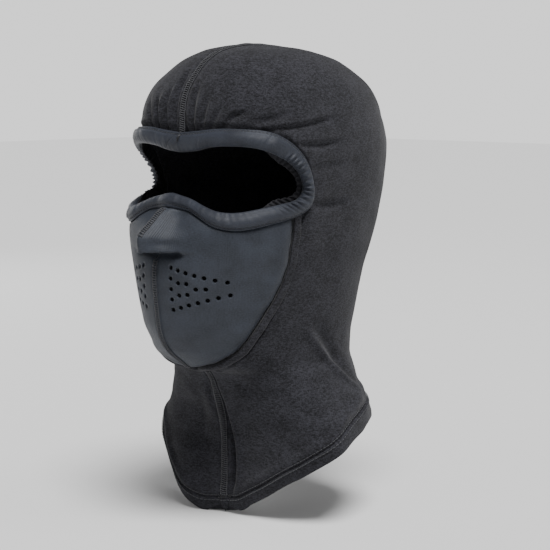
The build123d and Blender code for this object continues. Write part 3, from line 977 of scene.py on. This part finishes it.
def overlock(material):
    """The seam inside that joins mask and hood: a band of crossing threads on a backing."""
    line = MASK_EDGE_BOTH[2:-2]
    lift = -HOOD_THICKNESS - 0.9

    def surface(points, rise):
        points = onto_skin(points)
        return points + normals(points) * (lift - rise)[..., None]

    place, ahead = even_places(line, 1.5)
    side = np.cross(normals(onto_skin(place)), ahead)
    span = np.linspace(-1, 1, 7)
    across = SEAM_OFFSET + span * 3.0
    slant = beside(place, ahead, side, across, span * 0.6)
    slant[1::2] = beside(place, ahead, side, across, span * -0.6)[1::2]
    paths = list(surface(slant, 0.25 * np.cos(span * math.pi / 2)))
    vertices, faces = tubes(paths, 0.3, 5)
    across = SEAM_OFFSET + span * 3.6
    base = onto_skin(line[:, None] + way_across(line)[:, None] * across[:, None])
    top = base + normals(base) * (lift + 0.45)
    low = base + normals(base) * (lift + 0.05)
    band = np.concatenate([top, low[:, ::-1]], 1)
    band_faces = grid_faces(len(line), band.shape[1], wrap_columns=True) + len(vertices)
    vertices = np.concatenate([vertices, band.reshape(-1, 3)])
    piece = make_mesh("mask_overlock", vertices, faces + band_faces.tolist())
    dress(piece, material, "mask_seam_overlock")


# ---- stitching
def crown_and_throat(material):
    """The two flatlock seams that join the halves of the hood."""
    share = np.linspace(0, 1, 400)[:, None]
    start, end = to_map((0, HOOD_EDGE[0][1] + 0.5)), to_map((180, HEM[-1][1] + 1))
    crown = skin(from_map(start + share * (end - start)))
    crown[:, 0] = 0.0
    sewn("crown_threads", "crown_seam_stitching", flatlock(crown, 2.5, 1.6, on_hood), material)
    heights = np.linspace(HOOD_EDGE[-1][1] - 1.5, HEM[0][1] + HEM_DEPTH + 2.5, 200)
    throat = skin(np.stack([np.zeros(200), heights], -1))
    sewn("throat_threads", "throat_seam_stitching", flatlock(throat, 2.6, 1.6, on_hood), material)


def mask_seams(material):
    """The flatlock seam down the middle of the mask, above the slit and below it."""
    for name, node, top, bottom in (
        ("nose_threads", "nose_ridge_stitching", -7.5, -27),
        ("mouth_threads", "mask_centre_stitching", -44, -124.5),
    ):
        line = skin(np.stack([np.zeros(160), np.linspace(top, bottom, 160)], -1))
        sewn(name, node, flatlock(line, 1.7, 1.75, on_mask), material)


def hem_threads(material):
    """The coverstitch round the bottom edge."""
    hem = HEM_CURVE(np.linspace(0, 1, 300)) + np.array([0, HEM_DEPTH])
    left = skin(hem)
    ring = np.concatenate([left, mirrored(left)[-2::-1]])
    paths = running(ring, (-1.8, 1.8), 2.9, on_hood)
    sewn("hem_threads", "bottom_hem_coverstitch", paths, material)


def throat_tack(material):
    """The zigzag tack across the throat seam's lower end."""
    middle = skin((0.0, HEM[0][1] + HEM_DEPTH + 1))
    turns = np.arange(24)
    zigzag = middle + np.stack([turns * 0.42 - 4.9, turns * 0, np.where(turns % 2, 1.0, -1.0)], -1)
    sewn("throat_tack", "throat_bartack", [on_hood(zigzag, np.full(len(turns), 0.45))], material)


def care_label(material):
    """A blank folded label in the nape seam."""
    rows, columns = 26, 16
    low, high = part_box("care_label")
    label_width = (high[0] - low[0]) * 0.96
    heights = np.linspace(high[2] / MM, low[2] / MM, rows)
    across = np.linspace(-0.5, 0.5, columns) * label_width / MM
    back = skin(np.stack([np.full(rows, 180.0), heights], -1))
    points = np.repeat(back[:, None], columns, 1)
    points[..., 0] = across
    points[..., 1] -= HOOD_THICKNESS + 1.2 + 0.35 * np.sin(np.linspace(0, 5, rows))[:, None]
    points[..., 1] -= 0.4 * np.cos(across / across.max() * 1.5)
    piece = make_mesh("care_label", points, grid_faces(rows, columns), flat_places(points))
    thicken(piece, 0.45)
    dress(piece, material, "care_label")


# ---- materials
class Cloth:
    """A material, its shader, and the textures that give it colour and surface."""

    def __init__(self, name):
        self.material = bpy.data.materials.new(name)
        self.material.use_nodes = True
        self.nodes = self.material.node_tree.nodes
        self.links = self.material.node_tree.links
        self.shader = self.nodes["Principled BSDF"]

    def texture(self, kind, place, scale, settings):
        """A texture of the given coordinates, with its own scale along each axis."""
        mapping = self.nodes.new("ShaderNodeMapping")
        texture = self.nodes.new(kind)
        self.links.new(place, mapping.inputs["Vector"])
        self.links.new(mapping.outputs["Vector"], texture.inputs["Vector"])
        put(mapping, {"Scale": scale})
        put(texture, settings)
        return texture.outputs["Fac"]

    def noise(self, place, scale, detail):
        return self.texture("ShaderNodeTexNoise", place, scale, {"Detail": detail, "Scale": 1.0})

    def wave(self, place, scale, distortion):
        settings = {"Scale": scale, "Distortion": distortion}
        return self.texture("ShaderNodeTexWave", place, (1, 1, 1), settings)

    def maths(self, operation, first, second):
        """A texture combined with another texture or with a number."""
        node = self.nodes.new("ShaderNodeMath")
        node.operation = operation
        self.links.new(first, node.inputs[0])
        if isinstance(second, float):
            node.inputs[1].default_value = second
        else:
            self.links.new(second, node.inputs[1])
        return node.outputs[0]

    def colour(self, value, stops):
        node = self.nodes.new("ShaderNodeValToRGB")
        elements = node.color_ramp.elements
        while len(elements) < len(stops):
            elements.new(0.5)
        for element, (place, colour) in zip(elements, stops):
            element.position = place
            element.color = (*colour, 1)
        self.links.new(value, node.inputs["Fac"])
        self.links.new(node.outputs["Color"], self.shader.inputs["Base Color"])

    def bump(self, height, strength, distance):
        node = self.nodes.new("ShaderNodeBump")
        put(node, {"Strength": strength, "Distance": distance})
        self.links.new(height, node.inputs["Height"])
        self.links.new(node.outputs["Normal"], self.shader.inputs["Normal"])


def put(node, values):
    for name, value in values.items():
        node.inputs[name].default_value = value


def between(dark, light):
    return tuple((a + b) / 2 for a, b in zip(dark, light))


def fleece(name, dark, light, sheen):
    """Heathered brushed knit: short crosswise fibres of mixed greys and a soft nap."""
    cloth = Cloth(name)
    body = cloth.nodes.new("ShaderNodeTexCoord").outputs["Object"]
    cloud_share = 0.4
    clouds = cloth.maths("MULTIPLY", cloth.noise(body, (60, 60, 90), 4.0), cloud_share)
    fibres = cloth.noise(body, (380, 380, 950), 3.0)
    specks = cloth.noise(body, (950, 950, 1200), 2.0)
    heather = cloth.maths("ADD", cloth.maths("ADD", fibres, specks), clouds)
    heather = cloth.maths("MULTIPLY", heather, 1 / (2 + cloud_share))
    cloth.colour(heather, [(0.41, dark), (0.5, between(dark, light)), (0.59, light)])
    cloth.bump(heather, 0.4, 0.0008)
    put(cloth.shader, {"Roughness": 0.95, "Specular IOR Level": 0.12})
    put(cloth.shader, {"Sheen Weight": sheen, "Sheen Roughness": 0.5})
    return cloth.material


def jersey(name, dark, light, roughness, sheen, rib_scale):
    """Smooth fine-gauge jersey: faint courses, melange flecks and a soft shine."""
    cloth = Cloth(name)
    laid_flat = cloth.nodes.new("ShaderNodeUVMap")
    laid_flat.uv_map = "cloth"
    place = laid_flat.outputs["UV"]
    body = cloth.nodes.new("ShaderNodeTexCoord").outputs["Object"]
    flecks = cloth.noise(place, (700, 1300, 1), 3.0)
    clouds = cloth.noise(body, (55, 55, 80), 5.0)
    ribs = cloth.wave(place, rib_scale, 0.6)
    mottle = cloth.maths("MULTIPLY", cloth.maths("ADD", flecks, clouds), 0.5)
    cloth.colour(mottle, [(0.36, dark), (0.5, between(dark, light)), (0.64, light)])
    cloth.bump(cloth.maths("ADD", mottle, ribs), 0.35, 0.0004)
    put(cloth.shader, {"Roughness": roughness, "Specular IOR Level": 0.28})
    put(cloth.shader, {"Sheen Weight": sheen, "Sheen Roughness": 0.35})
    return cloth.material


def thread(name, colour):
    """Twisted sewing thread: fine slanting plies."""
    cloth = Cloth(name)
    body = cloth.nodes.new("ShaderNodeTexCoord").outputs["Object"]
    shade = tuple(channel * 0.7 for channel in colour)
    cloth.colour(cloth.noise(body, (500, 500, 500), 2.0), [(0.35, shade), (0.65, colour)])
    cloth.bump(cloth.wave(body, 900.0, 2.0), 0.4, 0.0001)
    put(cloth.shader, {"Roughness": 0.6, "Sheen Weight": 0.2})
    return cloth.material


# ---- studio
def surroundings():
    """A bright backdrop for the camera, and softer light from all round for the cloth."""
    world = bpy.data.worlds.new("studio")
    bpy.context.scene.world = world
    world.use_nodes = True
    nodes, links = world.node_tree.nodes, world.node_tree.links
    backdrop = nodes["Background"]
    ambient = nodes.new("ShaderNodeBackground")
    put(backdrop, {"Color": (1, 1, 1, 1), "Strength": 1.25})
    put(ambient, {"Strength": 0.25})
    rays = nodes.new("ShaderNodeLightPath")
    either = nodes.new("ShaderNodeMixShader")
    links.new(rays.outputs["Is Camera Ray"], either.inputs["Fac"])
    links.new(ambient.outputs[0], either.inputs[1])
    links.new(backdrop.outputs[0], either.inputs[2])
    links.new(either.outputs[0], nodes["World Output"].inputs["Surface"])


def floor():
    """A plain pale floor, a millimetre below the lowest point of the hem."""
    reach = 6.0
    corners = [(-reach, -reach, 0), (reach, -reach, 0), (reach, reach, 0), (-reach, reach, 0)]
    mesh = bpy.data.meshes.new("floor")
    mesh.from_pydata(corners, [], [(0, 1, 2, 3)])
    sheet = bpy.data.objects.new("floor", mesh)
    sheet.location.z = CAD_BOX[0][2] - MM
    bpy.context.collection.objects.link(sheet)
    paper = Cloth("floor_paper")
    put(paper.shader, {"Base Color": (0.72, 0.72, 0.72, 1), "Roughness": 0.8})
    mesh.materials.append(paper.material)


def aimed(name, data, place, aim):
    """A lamp or camera at a place, turned to look at another."""
    thing = bpy.data.objects.new(name, data)
    thing.location = place
    thing.rotation_mode = "QUATERNION"
    thing.rotation_quaternion = (Vector(aim) - Vector(place)).to_track_quat("-Z", "Y")
    bpy.context.collection.objects.link(thing)
    return thing


def sun_light(name, place, strength, spread):
    data = bpy.data.lights.new(name, "SUN")
    data.energy = strength
    data.angle = math.radians(spread)
    aimed(name, data, place, LIGHT_AIM)


def area_light(name, place, size, energy):
    data = bpy.data.lights.new(name, "AREA")
    data.size = size
    data.energy = energy
    aimed(name, data, place, LIGHT_AIM)


CAMERA_AZIMUTH = 44.0
CAMERA_ELEVATION = 4.0
CAMERA_DISTANCE = 1.26
CAMERA_LENS = 107.2
CAMERA_AIM = (0.0119, 0.0053, -0.0636)
LIGHT_AIM = (0, 0, -0.04)


def camera():
    data = bpy.data.cameras.new("camera")
    data.lens = CAMERA_LENS
    data.sensor_width = 36.0
    data.clip_start = 0.05
    data.clip_end = 50
    a, e = math.radians(CAMERA_AZIMUTH), math.radians(CAMERA_ELEVATION)
    back = Vector((math.sin(a) * math.cos(e), -math.cos(a) * math.cos(e), math.sin(e)))
    bpy.context.scene.camera = aimed("camera", data, back * CAMERA_DISTANCE, CAMERA_AIM)


def lights():
    sun_light("key", (0.85, -0.5, 2.3), strength=4.8, spread=26)
    area_light("front", (-0.5, -1.9, 0.9), size=0.9, energy=2)
    area_light("rim_back", (1.5, 1.2, 0.9), size=0.8, energy=8)
    area_light("rim_far", (-1.7, 0.4, 0.4), size=0.7, energy=4)


camera()
lights()
surroundings()
floor()

hood_cloth = fleece("hood_fleece", (0.0100, 0.0100, 0.0115), (0.034, 0.034, 0.041), 0.08)
inner_cloth = fleece("hem_fleece", (0.011, 0.011, 0.013), (0.030, 0.030, 0.036), 0.08)
mask_cloth = jersey("mask_laminate", (0.018, 0.021, 0.028), (0.036, 0.042, 0.056), 0.55, 0.06, 330)
lining_cloth = fleece("mask_lining", (0.006, 0.006, 0.008), (0.018, 0.018, 0.021), 0.08)
binding_cloth = jersey("binding_fabric", (0.017, 0.019, 0.026), (0.034, 0.039, 0.053), 0.48, 0.06, 360)
elastic_cloth = jersey("elastic_tape", (0.005, 0.005, 0.007), (0.014, 0.014, 0.018), 0.7, 0.05, 500)
label_cloth = jersey("label_satin", (0.16, 0.16, 0.17), (0.24, 0.24, 0.25), 0.4, 0.05, 600)
seam_thread = thread("seam_thread", (0.046, 0.047, 0.055))
edge_thread = thread("edge_thread", (0.027, 0.028, 0.034))

for side in ("left", "right"):
    hood, hood_area = hood_panel(side, hood_cloth)
    hem = turned_hem(side, inner_cloth)
    panel, panel_area = mask_half("mask", "mask_panel", side, mask_cloth,
                                  HOLE_RADIUS, 0.0, MASK_THICKNESS)
    lining, lining_area = mask_half("lining", "mask_lining", side, lining_cloth,
                                    HOLE_RADIUS + 0.1, -MASK_THICKNESS - 0.08, LINING_THICKNESS)

opening = loop_edges()
eye_binding(opening, binding_cloth)
eye_elastic(opening, elastic_cloth)
binding_stitches(opening, edge_thread)
brow_tack(opening, edge_thread)
edge_roll(hood_cloth)
overlock(edge_thread)
crown_and_throat(seam_thread)
mask_seams(seam_thread)
hem_threads(edge_thread)
throat_tack(seam_thread)
care_label(label_cloth)
